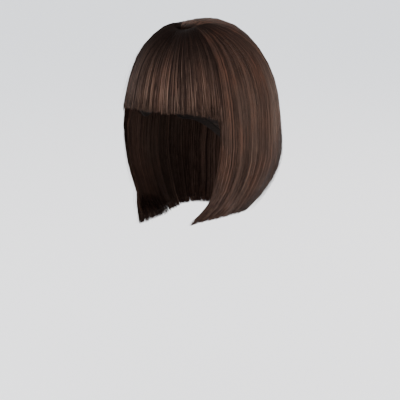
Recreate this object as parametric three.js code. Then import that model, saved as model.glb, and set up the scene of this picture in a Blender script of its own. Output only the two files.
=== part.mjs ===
// A straight bob wig with a full fringe, as it sits on a head, in millimetres, +Z up.
// The wearer looks along -Y, and the wearer's left side is at +X. The origin is the middle of the head
// at the height of the brow, inside the opening that the head goes into.
//
// The wig is a net cap with an elastic edge, and hair in four masses on it: the fringe, the two sides and
// the back. Every layer is worked out on one grid round the head: rows run down from the parting to the
// tips, and columns run round, so that the layers follow each other and keep a small gap.

import * as THREE from 'three';

// The head that the cap fits, from the origin.
const HEAD_HALF_WIDTH = 77.5;
const HEAD_FRONT = 95;
const HEAD_BACK = 97;
const HEAD_RISE = 107.5;

// The parting: a short slit across the head, ahead of its middle, with a skin-coloured patch in it.
const PARTING_FORWARD = 29;
const PARTING_HALF_LENGTH = 13;
const PARTING_HALF_WIDTH = 3;
const PATCH_BEVEL = 0.4;

// How far the hair stands off the head at its fullest: on top, at the sides, at the back, at the brow, and
// at the front edges of the sides.
const CROWN_VOLUME = 15;
const SIDE_VOLUME = 27;
const BACK_VOLUME = 50;
const FRINGE_VOLUME = 9;
const FRONT_EDGE_VOLUME = 8;

// How far the hair hangs below the brow, how far its front tips turn forward at the jaw, and how much
// longer the right side's front is left.
const SIDE_LENGTH = 148.5;
const FRONT_LENGTH = 152;
const BACK_LENGTH = 150;
const TIP_SWEEP = 20.5;
const RIGHT_EXTRA_LENGTH = 13;

// The hem of the fringe, in the middle and at the temples, as heights from the brow.
const FRINGE_HEM_MIDDLE = 4.5;
const FRINGE_HEM_TEMPLE = -7.5;
const FRINGE_HALF_ANGLE = 57.3;

// The cap and its elastic edge.
const CAP_WALL = 1.2;
const BAND_WALL = 1.6;
const BAND_HEIGHT = 10;

// The locks that the hair lies in.
const FRINGE_LOCKS = 14;
const SIDE_LOCKS = 8;
const BACK_LOCKS = 14;
const COLUMNS_PER_LOCK = 3;
const GROOVE_DEPTH = 3;
const LOCK_STAGGER = 1.2;
const TIP_STAGGER = 4;
const FRINGE_TIP_STAGGER = 1.2;

// The free front edge of each side: how thin it is, and the angle over which it thickens.
const FREE_EDGE_SHARE = 0.35;
const FREE_EDGE_ANGLE = 22;

// The clearance that layers and neighbours keep.
const GAP = 0.4;

// How much a level cut of the head is squarer than an ellipse.
const HEAD_SQUARENESS = 0.046;

const DEGREE = Math.PI / 180;
const lerp = THREE.MathUtils.lerp;
const smoothstep = THREE.MathUtils.smoothstep;

// Rows of the head, from the parting (0) past the brow (8) to the end of the hair (14) and a little on.
// across, toFront, toBack: shares of the way from the parting's rim to the head's side, brow and back.
// forward: share of the parting's distance ahead of the middle, for the row's widest point.
// sideZ, frontZ, backZ: shares of the head's rise above the brow, or, if negative, of the hair's length.
const HEAD_ROWS = [
  { across: 0, forward: 1, sideZ: 0.972, toFront: 0, frontZ: 0.972, toBack: 0, backZ: 0.972 },
  { across: 0.085, forward: 0.93, sideZ: 0.977, toFront: 0.12, frontZ: 0.953, toBack: 0.12, backZ: 0.995 },
  { across: 0.225, forward: 0.76, sideZ: 0.96, toFront: 0.3, frontZ: 0.912, toBack: 0.268, backZ: 1 },
  { across: 0.419, forward: 0.55, sideZ: 0.902, toFront: 0.476, frontZ: 0.833, toBack: 0.431, backZ: 0.977 },
  { across: 0.636, forward: 0.345, sideZ: 0.795, toFront: 0.675, frontZ: 0.712, toBack: 0.622, backZ: 0.893 },
  { across: 0.814, forward: 0.2, sideZ: 0.628, toFront: 0.841, frontZ: 0.544, toBack: 0.8, backZ: 0.735 },
  { across: 0.93, forward: 0.1, sideZ: 0.419, toFront: 0.944, frontZ: 0.335, toBack: 0.927, backZ: 0.521 },
  { across: 1, forward: 0, sideZ: 0.167, toFront: 1, frontZ: 0.093, toBack: 0.992, backZ: 0.27 },
  { across: 1, forward: 0, sideZ: -0.077, toFront: 0.984, frontZ: -0.089, toBack: 1, backZ: 0 },
  { across: 0.977, forward: 0, sideZ: -0.269, toFront: 0.937, frontZ: -0.253, toBack: 0.943, backZ: -0.216 },
  { across: 0.915, forward: 0, sideZ: -0.462, toFront: 0.889, frontZ: -0.43, toBack: 0.85, backZ: -0.431 },
  { across: 0.822, forward: 0, sideZ: -0.641, toFront: 0.841, frontZ: -0.608, toBack: 0.785, backZ: -0.627 },
  { across: 0.729, forward: 0, sideZ: -0.795, toFront: 0.841, frontZ: -0.772, toBack: 0.748, backZ: -0.797 },
  { across: 0.667, forward: 0, sideZ: -0.91, toFront: 0.841, frontZ: -0.89, toBack: 0.728, backZ: -0.922 },
  { across: 0.59, forward: 0, sideZ: -1, toFront: 0.841, frontZ: -0.985, toBack: 0.715, backZ: -1 },
  { across: 0.55, forward: 0, sideZ: -1.09, toFront: 0.841, frontZ: -1.07, toBack: 0.71, backZ: -1.085 },
];

// How much squarer than an ellipse each row is cut, ahead of the ears and behind them, in shares.
const SQUARE_ROWS = [
  { ahead: 0, behind: 0 },
  { ahead: 0, behind: 0 },
  { ahead: 0, behind: 0 },
  { ahead: 0, behind: 0 },
  { ahead: 0, behind: 0 },
  { ahead: 0, behind: 0.1 },
  { ahead: 0.1, behind: 0.4 },
  { ahead: 0.5, behind: 0.8 },
  { ahead: 1, behind: 1 },
  { ahead: 1, behind: 1.1 },
  { ahead: 0.3, behind: 1.4 },
  { ahead: 0, behind: 1.9 },
  { ahead: 0, behind: 2.2 },
  { ahead: 0, behind: 2.5 },
  { ahead: 0, behind: 2.8 },
  { ahead: 0, behind: 3 },
];

// How far the hair's outer face stands off each row of the head, in shares of the named volumes.
const HAIR_ROWS = [
  { sideOut: 0, sideUp: 0.5, frontOut: 0, frontUp: 0.5, backOut: 0, backUp: 0.5 },
  { sideOut: 0.05, sideUp: 0.7, frontOut: 0.1, frontUp: 0.53, backOut: 0.04, backUp: 0.667 },
  { sideOut: 0.13, sideUp: 0.8, frontOut: 0.3, frontUp: 0.53, backOut: 0.08, backUp: 0.9 },
  { sideOut: 0.28, sideUp: 0.68, frontOut: 0.5, frontUp: 0.47, backOut: 0.13, backUp: 1 },
  { sideOut: 0.444, sideUp: 0.43, frontOut: 0.72, frontUp: 0.3, backOut: 0.19, backUp: 1 },
  { sideOut: 0.574, sideUp: 0.3, frontOut: 0.87, frontUp: 0.1, backOut: 0.29, backUp: 0.8 },
  { sideOut: 0.667, sideUp: 0.13, frontOut: 0.95, frontUp: 0, backOut: 0.38, backUp: 0.53 },
  { sideOut: 0.715, sideUp: 0, frontOut: 1, frontUp: 0, backOut: 0.47, backUp: 0.27 },
  { sideOut: 0.826, sideUp: 0, frontOut: 1, frontUp: 0, backOut: 0.54, backUp: 0 },
  { sideOut: 0.907, sideUp: 0, frontOut: 1, frontUp: 0, backOut: 0.76, backUp: 0 },
  { sideOut: 1, sideUp: 0, frontOut: 1, frontUp: 0, backOut: 1, backUp: 0 },
  { sideOut: 0.926, sideUp: 0, frontOut: 1, frontUp: 0, backOut: 0.98, backUp: 0 },
  { sideOut: 0.7, sideUp: 0, frontOut: 1, frontUp: 0, backOut: 0.7, backUp: 0 },
  { sideOut: 0.444, sideUp: 0, frontOut: 1, frontUp: 0, backOut: 0.41, backUp: 0 },
  { sideOut: 0.185, sideUp: 0, frontOut: 1, frontUp: 0, backOut: 0.16, backUp: 0 },
  { sideOut: 0.11, sideUp: 0, frontOut: 1, frontUp: 0, backOut: 0.08, backUp: 0 },
];

// The free front edge of each side, below the fringe: how far it stands ahead, and how far its tips turn
// forward, in shares of the front edge's volume and of the tips' sweep.
const EDGE_ROWS = [
  ...Array.from({ length: 8 }, () => ({ ahead: 0, sweep: 0 })),
  { ahead: 0.13, sweep: 0 },
  { ahead: 0.27, sweep: 0 },
  { ahead: 0.6, sweep: 0 },
  { ahead: 1, sweep: 0 },
  { ahead: 0.87, sweep: 0 },
  { ahead: 0.87, sweep: 0.55 },
  { ahead: 0.87, sweep: 1 },
  { ahead: 0.87, sweep: 1.3 },
];

// The share of the space between the head and the outer face that holds hair.
const FILL_ROWS = [
  ...Array.from({ length: 6 }, () => ({ side: 1, front: 1, back: 1 })),
  { side: 1, front: 0.8, back: 1 },
  { side: 1, front: 0.5, back: 1 },
  { side: 1, front: 0.42, back: 1 },
  { side: 0.8, front: 0.42, back: 1 },
  { side: 0.62, front: 0.42, back: 1 },
  { side: 0.55, front: 0.42, back: 0.85 },
  { side: 0.55, front: 0.42, back: 0.7 },
  { side: 0.6, front: 0.42, back: 0.65 },
  { side: 0.8, front: 0.42, back: 0.8 },
  { side: 0.8, front: 0.42, back: 0.8 },
];

// Rows that the solids are cut at. Between two of them every layer is straight.
const STATIONS = [0, 0.5, 1, 1.5, 2, 2.5, 3, 3.5, 4, 4.5, 5, 5.5, 6, 7, 8, 9, 10, 11, 12, 13];
const FRINGE_ROW = 7;
const TIP_ROW = 14;
const LAST_ROW = HEAD_ROWS.length - 1;

// The cap's rows follow the stations down to here, and are spread evenly from there to its edge.
const CAP_EVEN_ROW = 5.5;
const CAP_LOWER_ROWS = 5;

// Height of the cap's lower edge round the head: over the brow, the ear tabs and the nape.
const CAP_RIM = [
  { angle: 0, height: 0.36 * HEAD_RISE },
  { angle: 50, height: 0.19 * HEAD_RISE },
  { angle: 75, height: -0.06 * BACK_LENGTH },
  { angle: 97, height: 0.02 * HEAD_RISE },
  { angle: 125, height: -0.14 * BACK_LENGTH },
  { angle: 180, height: -0.36 * BACK_LENGTH },
];

// A repeatable scatter between -1 and 1.
function scatter(seed) {
  const wave = Math.sin(seed * 12.9898 + 4.1) * 43758.5453;
  return 2 * (wave - Math.floor(wave)) - 1;
}

// An angle round the head as the distance from the face, alike on the left and on the right.
function fromFace(angle) {
  return angle > Math.PI ? 2 * Math.PI - angle : Math.abs(angle);
}

// Smooth curve through one column of a table, at a row that need not be whole.
function alongRows(rows, column, row) {
  const at = Math.min(Math.floor(row), LAST_ROW - 1);
  const value = (i) => rows[THREE.MathUtils.clamp(i, 0, LAST_ROW)][column];
  const step = row - at;
  const before = value(at - 1);
  const start = value(at);
  const end = value(at + 1);
  const after = value(at + 2);
  const bend = 2 * before - 5 * start + 4 * end - after;
  const turn = 3 * (start - end) + after - before;
  return start + 0.5 * step * (end - before + step * (bend + step * turn));
}

// Height from a share: of the head's rise above the brow, of the hair's length below it.
function heightOf(share, length) {
  return share > 0 ? share * HEAD_RISE : share * length;
}

// One level ring, from its side, front and back points. The angle is 0 at the face and 90 at the left ear.
function onRing(ring, angle) {
  const forward = Math.cos(angle);
  const corner = HEAD_SQUARENESS * (forward > 0 ? ring.squareAhead : ring.squareBehind);
  const squarer = 1 + corner * Math.sin(2 * angle) ** 2;
  const end = forward > 0 ? ring.front : ring.back;
  return new THREE.Vector3(
    ring.side.x * Math.sin(angle) * squarer,
    ring.side.y + (end.y - ring.side.y) * Math.abs(forward) * squarer,
    ring.side.z + (end.z - ring.side.z) * forward ** 2,
  );
}

// The head's ring at a row, and the ring of the hair's outer face.
function headRing(row) {
  const share = (column) => alongRows(HEAD_ROWS, column, row);
  const frontRim = PARTING_FORWARD + PARTING_HALF_WIDTH;
  const backRim = PARTING_FORWARD - PARTING_HALF_WIDTH;
  return {
    squareAhead: alongRows(SQUARE_ROWS, 'ahead', row),
    squareBehind: alongRows(SQUARE_ROWS, 'behind', row),
    side: {
      x: lerp(PARTING_HALF_LENGTH, HEAD_HALF_WIDTH, share('across')),
      y: -PARTING_FORWARD * share('forward'),
      z: heightOf(share('sideZ'), SIDE_LENGTH),
    },
    front: { y: -lerp(frontRim, HEAD_FRONT, share('toFront')), z: heightOf(share('frontZ'), FRONT_LENGTH) },
    back: { y: lerp(-backRim, HEAD_BACK, share('toBack')), z: heightOf(share('backZ'), BACK_LENGTH) },
  };
}

function hairRing(row) {
  const share = (column) => alongRows(HAIR_ROWS, column, row);
  const ring = headRing(row);
  ring.side.x += SIDE_VOLUME * share('sideOut');
  ring.side.z += CROWN_VOLUME * share('sideUp');
  const ahead = FRONT_EDGE_VOLUME * alongRows(EDGE_ROWS, 'ahead', row);
  const atEdge = ahead + TIP_SWEEP * alongRows(EDGE_ROWS, 'sweep', row);
  ring.front.y -= FRINGE_VOLUME * share('frontOut') + atEdge / Math.cos(FRINGE_HALF_ANGLE * DEGREE);
  ring.front.z += CROWN_VOLUME * share('frontUp');
  ring.back.y += BACK_VOLUME * share('backOut');
  ring.back.z += CROWN_VOLUME * share('backUp');
  return ring;
}

// A point at any row lies on the straight line between the two stations around it.
function betweenStations(row, pointAt) {
  const after = STATIONS.findIndex((station) => station > row);
  const upper = after < 0 ? STATIONS.at(-1) : STATIONS[after - 1];
  const lower = after < 0 ? TIP_ROW : STATIONS[after];
  return pointAt(upper).lerp(pointAt(lower), (row - upper) / (lower - upper));
}

function headPoint(row, angle) {
  return betweenStations(row, (station) => onRing(headRing(station), angle));
}

function hairPoint(row, angle) {
  return betweenStations(row, (station) => onRing(hairRing(station), angle));
}

// A point of a layer: so far out from the head along the line to the hair's outer face.
function offHead(row, angle, distance) {
  const head = headPoint(row, angle);
  const outward = hairPoint(row, angle).sub(head).normalize();
  return head.addScaledVector(outward, distance);
}

// The row at which the column at this angle reaches a height.
function rowAtHeight(pointAt, height) {
  let upper = 1;
  let lower = LAST_ROW;
  for (let halving = 0; halving < 40; halving += 1) {
    const middle = (upper + lower) / 2;
    if (pointAt(middle).z > height) upper = middle;
    else lower = middle;
  }
  return upper;
}

// The share of the space over the head that holds hair. A side thins out towards its free front edge.
function fillAt(mass, row, angle) {
  const forward = Math.cos(angle);
  const endFill = alongRows(FILL_ROWS, forward > 0 ? 'front' : 'back', row);
  const fill = lerp(alongRows(FILL_ROWS, 'side', row), endFill, forward ** 2);
  if (mass.name === 'fringe') return fill;
  const fromEdge = fromFace(angle) / DEGREE - FRINGE_HALF_ANGLE;
  const thinned = lerp(FREE_EDGE_SHARE, 1, smoothstep(fromEdge, 0, FREE_EDGE_ANGLE));
  return fill * lerp(1, thinned, smoothstep(row, FRINGE_ROW, FRINGE_ROW + 1.5));
}

// The four masses of hair, each from one angle to the next, going round from the face by the left ear.
const SIDE_BACK_ANGLE = 180 - FRINGE_HALF_ANGLE;
const MASSES = [
  { name: 'fringe', from: -FRINGE_HALF_ANGLE, to: FRINGE_HALF_ANGLE, locks: FRINGE_LOCKS, seed: 3 },
  { name: 'left_side_hair', from: FRINGE_HALF_ANGLE, to: SIDE_BACK_ANGLE, locks: SIDE_LOCKS, seed: 41 },
  { name: 'back_hair', from: SIDE_BACK_ANGLE, to: 360 - SIDE_BACK_ANGLE, locks: BACK_LOCKS, seed: 67 },
  {
    name: 'right_side_hair',
    from: 360 - SIDE_BACK_ANGLE,
    to: 360 - FRINGE_HALF_ANGLE,
    locks: SIDE_LOCKS,
    seed: 97,
  },
];

// The angles between the locks of a mass, a little uneven. The cap's columns use the same angles.
function lockEdges(mass) {
  const width = (mass.to - mass.from) / mass.locks;
  return Array.from({ length: mass.locks + 1 }, (_, lock) => {
    const ends = lock === 0 || lock === mass.locks;
    const uneven = ends ? 0 : 0.16 * scatter(mass.seed + lock);
    return (mass.from + width * (lock + uneven)) * DEGREE;
  });
}

// A closed body between an outer and an inner grid of points, row by row. The outer grid may have several
// columns to each column of the inner one. A round body closes on itself, and an open one gets end walls,
// which are split along the same diagonals as the neighbour's, so that the gap between them is even.
function bodyBetween(outer, inner, round) {
  const positions = [];
  const faces = [];
  const rows = outer.length;
  const number = (point) => {
    positions.push(point.x, point.y, point.z);
    return positions.length / 3 - 1;
  };
  const outerIds = outer.map((row) => row.map(number));
  const innerIds = inner.map((row) => row.map(number));
  const outerAt = (row, column) => outerIds[row][round ? column % outer[0].length : column];
  const innerAt = (row, column) => innerIds[row][round ? column % inner[0].length : column];
  const outerSpans = outer[0].length - (round ? 0 : 1);
  const innerSpans = inner[0].length - (round ? 0 : 1);
  const perSpan = outerSpans / innerSpans;
  const quad = (a, b, c, d) => faces.push(a, b, c, a, c, d);
  for (let row = 0; row < rows - 1; row += 1) {
    for (let span = 0; span < outerSpans; span += 1) {
      quad(outerAt(row, span), outerAt(row + 1, span), outerAt(row + 1, span + 1), outerAt(row, span + 1));
    }
    for (let span = 0; span < innerSpans; span += 1) {
      quad(innerAt(row, span + 1), innerAt(row + 1, span + 1), innerAt(row + 1, span), innerAt(row, span));
    }
  }
  const rim = (row, turn) => {
    for (let span = 0; span < innerSpans; span += 1) {
      const first = span * perSpan;
      const middle = Math.ceil(perSpan / 2);
      const face = (a, b, c) => faces.push(...(turn ? [a, c, b] : [a, b, c]));
      for (let step = 0; step < perSpan; step += 1) {
        const near = innerAt(row, span + (step < middle ? 0 : 1));
        face(near, outerAt(row, first + step), outerAt(row, first + step + 1));
      }
      face(innerAt(row, span), outerAt(row, first + middle), innerAt(row, span + 1));
    }
  };
  rim(0, false);
  rim(rows - 1, true);
  if (!round) {
    for (let row = 0; row < rows - 1; row += 1) {
      quad(innerAt(row, 0), innerAt(row + 1, 0), outerAt(row + 1, 0), outerAt(row, 0));
      quad(
        outerAt(row + 1, outerSpans),
        innerAt(row + 1, innerSpans),
        innerAt(row, innerSpans),
        outerAt(row, outerSpans),
      );
    }
  }
  const geometry = new THREE.BufferGeometry();
  geometry.setAttribute('position', new THREE.Float32BufferAttribute(positions, 3));
  geometry.setIndex(faces);
  geometry.computeVertexNormals();
  return geometry;
}

// Half of the gap to the next mass, as an angle, at a point of a mass's edge.
function gapAngle(pointAt, angle) {
  const step = 0.01;
  const perRadian = pointAt(angle + step).distanceTo(pointAt(angle - step)) / (2 * step);
  return GAP / 2 / perRadian;
}

// An angle of a mass, drawn in from its edges by half of the gap to its neighbours.
function drawnIn(mass, angle, pointAt) {
  const from = mass.from * DEGREE;
  const to = mass.to * DEGREE;
  const share = (angle - from) / (to - from);
  return lerp(from + gapAngle(pointAt, from), to - gapAngle(pointAt, to), share);
}

// The row at which a column of hair ends. Grooves end higher than the locks beside them.
function tipRow(mass, angle, seed, inGroove) {
  const shortened = inGroove ? 1 : 0.7 * scatter(seed);
  if (mass.name === 'fringe') {
    const toTemple = fromFace(angle) / (FRINGE_HALF_ANGLE * DEGREE);
    const hem = lerp(FRINGE_HEM_MIDDLE, FRINGE_HEM_TEMPLE, toTemple ** 4);
    return rowAtHeight((row) => hairPoint(row, angle), hem + FRINGE_TIP_STAGGER * shortened);
  }
  const perRow = hairPoint(TIP_ROW - 1, angle).distanceTo(hairPoint(TIP_ROW, angle));
  const toBack = (fromFace(angle) / DEGREE - FRINGE_HALF_ANGLE) / (180 - 2 * FRINGE_HALF_ANGLE);
  const extra = mass.name === 'right_side_hair' ? RIGHT_EXTRA_LENGTH * (1 - smoothstep(toBack, 0.1, 1)) : 0;
  return TIP_ROW + (extra - TIP_STAGGER * shortened) / perRow;
}

// The columns of a mass: one in each groove between locks, and the ridges of the lock after it.
function columnsOf(mass) {
  const edges = lockEdges(mass);
  const columns = [];
  for (let lock = 0; lock <= mass.locks; lock += 1) {
    const count = lock < mass.locks ? COLUMNS_PER_LOCK : 1;
    for (let step = 0; step < count; step += 1) {
      const angle = step === 0 ? edges[lock] : lerp(edges[lock], edges[lock + 1], step / COLUMNS_PER_LOCK);
      const seed = mass.seed + 7 * (lock * COLUMNS_PER_LOCK + step);
      const inGroove = step === 0;
      const tip = tipRow(mass, angle, seed, inGroove);
      columns.push({ angle, inGroove, tip, stand: LOCK_STAGGER * scatter(mass.seed * 5 + lock) });
    }
  }
  return columns;
}

// One mass of hair over the cap: locks with grooves between them outside, and plain inside.
function hairMass(mass) {
  const columns = columnsOf(mass);
  const shortest = Math.min(...columns.map((column) => column.tip));
  const stations = STATIONS.filter((station) => station < shortest - 0.15);

  const spaceAt = (row, angle) => hairPoint(row, angle).distanceTo(headPoint(row, angle)) - GAP;
  const outerPoint = (row, column) => {
    const angle = drawnIn(mass, column.angle, (turn) => hairPoint(row, turn));
    const space = spaceAt(row, angle);
    const depth = GROOVE_DEPTH * lerp(0.35, 1, smoothstep(row, 5, TIP_ROW));
    const sunk = column.inGroove ? depth : column.stand * smoothstep(row, 0, 6);
    return offHead(row, angle, GAP + space - Math.min(sunk, 0.4 * space * fillAt(mass, row, angle)));
  };
  const innerPoint = (row, column) => {
    const angle = drawnIn(mass, column.angle, (turn) => headPoint(row, turn));
    return offHead(row, angle, GAP + spaceAt(row, angle) * (1 - fillAt(mass, row, angle)));
  };
  const gridOf = (chosen, pointAt) => [
    ...stations.map((row) => chosen.map((column) => pointAt(row, column))),
    chosen.map((column) => pointAt(column.tip, column)),
  ];
  const innerColumns = columns.filter((column) => column.inGroove);
  return bodyBetween(gridOf(columns, outerPoint), gridOf(innerColumns, innerPoint), false);
}

// The cap and its band use the columns between all the locks.
const CAP_ANGLES = MASSES.flatMap((mass) => lockEdges(mass).slice(0, -1));

// The row of the cap's lower edge in a column.
function rimRow(angle) {
  const degrees = fromFace(angle) / DEGREE;
  const after = Math.max(1, CAP_RIM.findIndex((point) => point.angle >= degrees));
  const [start, end] = [CAP_RIM[after - 1], CAP_RIM[after]];
  const height = lerp(start.height, end.height, smoothstep(degrees, start.angle, end.angle));
  return rowAtHeight((row) => headPoint(row, angle), height);
}

// The row that lies so far below another one, measured down a column of the head.
function rowBelow(row, angle, distance) {
  const sample = 0.1;
  return row + (sample * distance) / headPoint(row, angle).distanceTo(headPoint(row + sample, angle));
}

// A net or band over the head, from the rows that a function gives for each column.
function clothOnHead(rowsDown, wall) {
  const columns = CAP_ANGLES.map((angle) => ({ angle, rows: rowsDown(angle) }));
  const layer = (depth) =>
    columns[0].rows.map((_, index) => columns.map(({ angle, rows }) => offHead(rows[index], angle, -depth)));
  return bodyBetween(layer(0), layer(wall), true);
}

function capNet() {
  const upper = STATIONS.filter((station) => station < CAP_EVEN_ROW);
  const rowsDown = (angle) => {
    const rim = rowBelow(rimRow(angle), angle, -GAP / 2);
    const lower = Array.from({ length: CAP_LOWER_ROWS }, (_, step) => (step + 1) / CAP_LOWER_ROWS);
    return [...upper, ...lower.map((share) => lerp(upper.at(-1), rim, share))];
  };
  return clothOnHead(rowsDown, CAP_WALL);
}

function capEdgeBand() {
  const rowsDown = (angle) => {
    const rim = rimRow(angle);
    return [GAP / 2, BAND_HEIGHT / 2, BAND_HEIGHT].map((distance) => rowBelow(rim, angle, distance));
  };
  return clothOnHead(rowsDown, BAND_WALL);
}

// The patch fills the slit in the top of the cap.
function crownPatch() {
  const outline = new THREE.Shape();
  const inset = GAP + PATCH_BEVEL;
  outline.absellipse(0, 0, PARTING_HALF_LENGTH - inset, PARTING_HALF_WIDTH - inset, 0, 2 * Math.PI, false, 0);
  return new THREE.ExtrudeGeometry(outline, {
    depth: CAP_WALL - PATCH_BEVEL,
    curveSegments: 10,
    bevelThickness: PATCH_BEVEL / 2,
    bevelSize: PATCH_BEVEL,
    bevelSegments: 1,
  });
}

const HAIR = new THREE.MeshStandardMaterial({ color: '#2a1915', roughness: 0.45, metalness: 0 });
const NET = new THREE.MeshStandardMaterial({ color: '#17110f', roughness: 0.9, metalness: 0 });
const ELASTIC = new THREE.MeshStandardMaterial({ color: '#1d1513', roughness: 0.85, metalness: 0 });
const SKIN_NET = new THREE.MeshStandardMaterial({ color: '#4b3f42', roughness: 0.8, metalness: 0 });

function piece(name, geometry, material) {
  const mesh = new THREE.Mesh(geometry, material);
  mesh.name = name;
  return mesh;
}

const wig = new THREE.Group();

wig.add(piece('cap_net', capNet(), NET));
wig.add(piece('cap_edge_band', capEdgeBand(), ELASTIC));

const patch = piece('crown_patch', crownPatch(), SKIN_NET);
patch.position.set(0, -PARTING_FORWARD, headRing(0).side.z - CAP_WALL + PATCH_BEVEL / 2);
wig.add(patch);

for (const mass of MASSES) {
  wig.add(piece(mass.name, hairMass(mass), HAIR));
}

export default wig;
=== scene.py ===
# %% [markdown]
# # A straight bob wig with a full fringe
# The wig is a net cap with an elastic edge, with hair sewn to it that falls in four masses: a fringe, two
# sides and a back. The solids give its true size, so this lesson only dresses them: smooth shells under the
# hair, many thin strands on top, and a material for each surface.

# %% Load the frame
import math

import bpy
import numpy as np
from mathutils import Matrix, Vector


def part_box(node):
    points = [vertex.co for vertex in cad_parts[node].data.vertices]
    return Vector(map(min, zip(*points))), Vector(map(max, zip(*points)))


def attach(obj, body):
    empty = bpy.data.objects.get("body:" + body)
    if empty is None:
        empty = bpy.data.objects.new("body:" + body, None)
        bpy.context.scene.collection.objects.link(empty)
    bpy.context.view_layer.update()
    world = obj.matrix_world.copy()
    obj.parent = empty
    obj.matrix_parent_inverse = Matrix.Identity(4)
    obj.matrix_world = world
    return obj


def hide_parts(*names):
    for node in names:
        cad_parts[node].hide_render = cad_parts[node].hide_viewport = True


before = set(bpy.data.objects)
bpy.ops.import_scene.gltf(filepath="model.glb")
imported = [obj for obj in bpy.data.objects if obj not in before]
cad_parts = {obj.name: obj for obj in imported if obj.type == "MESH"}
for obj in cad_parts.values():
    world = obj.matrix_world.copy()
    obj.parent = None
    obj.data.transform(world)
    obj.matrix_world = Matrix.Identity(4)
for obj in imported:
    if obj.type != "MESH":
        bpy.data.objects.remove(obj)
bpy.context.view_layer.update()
bpy.ops.object.select_all(action="DESELECT")
print("solids:", ", ".join(sorted(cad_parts)))

# %% [markdown]
# The hair lies on a form that is worked out row by row, from the parting down to the tips. A row has a side
# point, a front point and a back point, and a ring is drawn through them. The tables hold shares of a few
# real sizes. What a box of a solid gives exactly is read from the frame.

# %% Sizes of the head and the hair, in metres, and angles in degrees
MM = 0.001
DEGREE = math.pi / 180
cap_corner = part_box("cap_net")[1]
HEAD_HALF_WIDTH = cap_corner[0]
HEAD_RISE = cap_corner[2]
HEAD_FRONT = 95 * MM
HEAD_BACK = 97 * MM
PARTING_FORWARD = 29 * MM
PARTING_HALF_LENGTH = 13 * MM
PARTING_HALF_WIDTH = 3 * MM
CROWN_VOLUME = 15 * MM
SIDE_VOLUME = 27 * MM
BACK_VOLUME = 50 * MM
FRINGE_VOLUME = 9 * MM
FRONT_EDGE_VOLUME = 8 * MM
TIP_SWEEP = 20.5 * MM
SIDE_LENGTH = 148.5 * MM
FRONT_LENGTH = 152 * MM
BACK_LENGTH = 150 * MM
RIGHT_EXTRA_LENGTH = 13 * MM
FRINGE_HEM_MIDDLE = 4.5 * MM
FRINGE_HEM_TEMPLE = -7.5 * MM
HEAD_SQUARENESS = 0.046
LAYER_GAP = 0.4 * MM
FRINGE_EDGE = 57.3
FREE_EDGE_SHARE = 0.35
FREE_EDGE_ANGLE = 22
BROW_ROW = 7
TIP_ROW = 14
print(f"the cap is {2e3 * HEAD_HALF_WIDTH:.0f} mm wide and rises {1e3 * HEAD_RISE:.0f} mm above the brow")

# %% [markdown]
# Row 0 is at the parting, row 7 just above the brow and row 14 at the tips. The head's rows say how far each
# ring reaches across, ahead and back, and how high it lies. The hair's rows say how far it stands off the
# head. The last table squares the rings, turns the tips forward and thins the hair.

# %% The rows of the head and of the hair, as shares of those sizes
HEAD_COLUMNS = ("across", "forward", "side_z", "to_front", "front_z", "to_back", "back_z")
HEAD_ROWS = (
    (0, 1, 0.972, 0, 0.972, 0, 0.972),
    (0.085, 0.93, 0.977, 0.12, 0.953, 0.12, 0.995),
    (0.225, 0.76, 0.96, 0.3, 0.912, 0.268, 1),
    (0.419, 0.55, 0.902, 0.476, 0.833, 0.431, 0.977),
    (0.636, 0.345, 0.795, 0.675, 0.712, 0.622, 0.893),
    (0.814, 0.2, 0.628, 0.841, 0.544, 0.8, 0.735),
    (0.93, 0.1, 0.419, 0.944, 0.335, 0.927, 0.521),
    (1, 0, 0.167, 1, 0.093, 0.992, 0.27),
    (1, 0, -0.077, 0.984, -0.089, 1, 0),
    (0.977, 0, -0.269, 0.937, -0.253, 0.943, -0.216),
    (0.915, 0, -0.462, 0.889, -0.43, 0.85, -0.431),
    (0.822, 0, -0.641, 0.841, -0.608, 0.785, -0.627),
    (0.729, 0, -0.795, 0.841, -0.772, 0.748, -0.797),
    (0.667, 0, -0.91, 0.841, -0.89, 0.728, -0.922),
    (0.59, 0, -1, 0.841, -0.985, 0.715, -1),
    (0.55, 0, -1.09, 0.841, -1.07, 0.71, -1.085),
)
HAIR_COLUMNS = ("side_out", "side_up", "front_out", "front_up", "back_out", "back_up")
HAIR_ROWS = (
    (0, 0.5, 0, 0.5, 0, 0.5),
    (0.05, 0.7, 0.1, 0.53, 0.04, 0.667),
    (0.13, 0.8, 0.3, 0.53, 0.08, 0.9),
    (0.28, 0.68, 0.5, 0.47, 0.13, 1),
    (0.444, 0.43, 0.72, 0.3, 0.19, 1),
    (0.574, 0.3, 0.87, 0.1, 0.29, 0.8),
    (0.667, 0.13, 0.95, 0, 0.38, 0.53),
    (0.715, 0, 1, 0, 0.47, 0.27),
    (0.826, 0, 1, 0, 0.54, 0),
    (0.907, 0, 1, 0, 0.76, 0),
    (1, 0, 1, 0, 1, 0),
    (0.926, 0, 1, 0, 0.98, 0),
    (0.7, 0, 1, 0, 0.7, 0),
    (0.444, 0, 1, 0, 0.41, 0),
    (0.185, 0, 1, 0, 0.16, 0),
    (0.11, 0, 1, 0, 0.08, 0),
)
SHAPE_COLUMNS = ("square_ahead", "square_behind", "ahead", "sweep", "side_fill", "front_fill", "back_fill")
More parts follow.
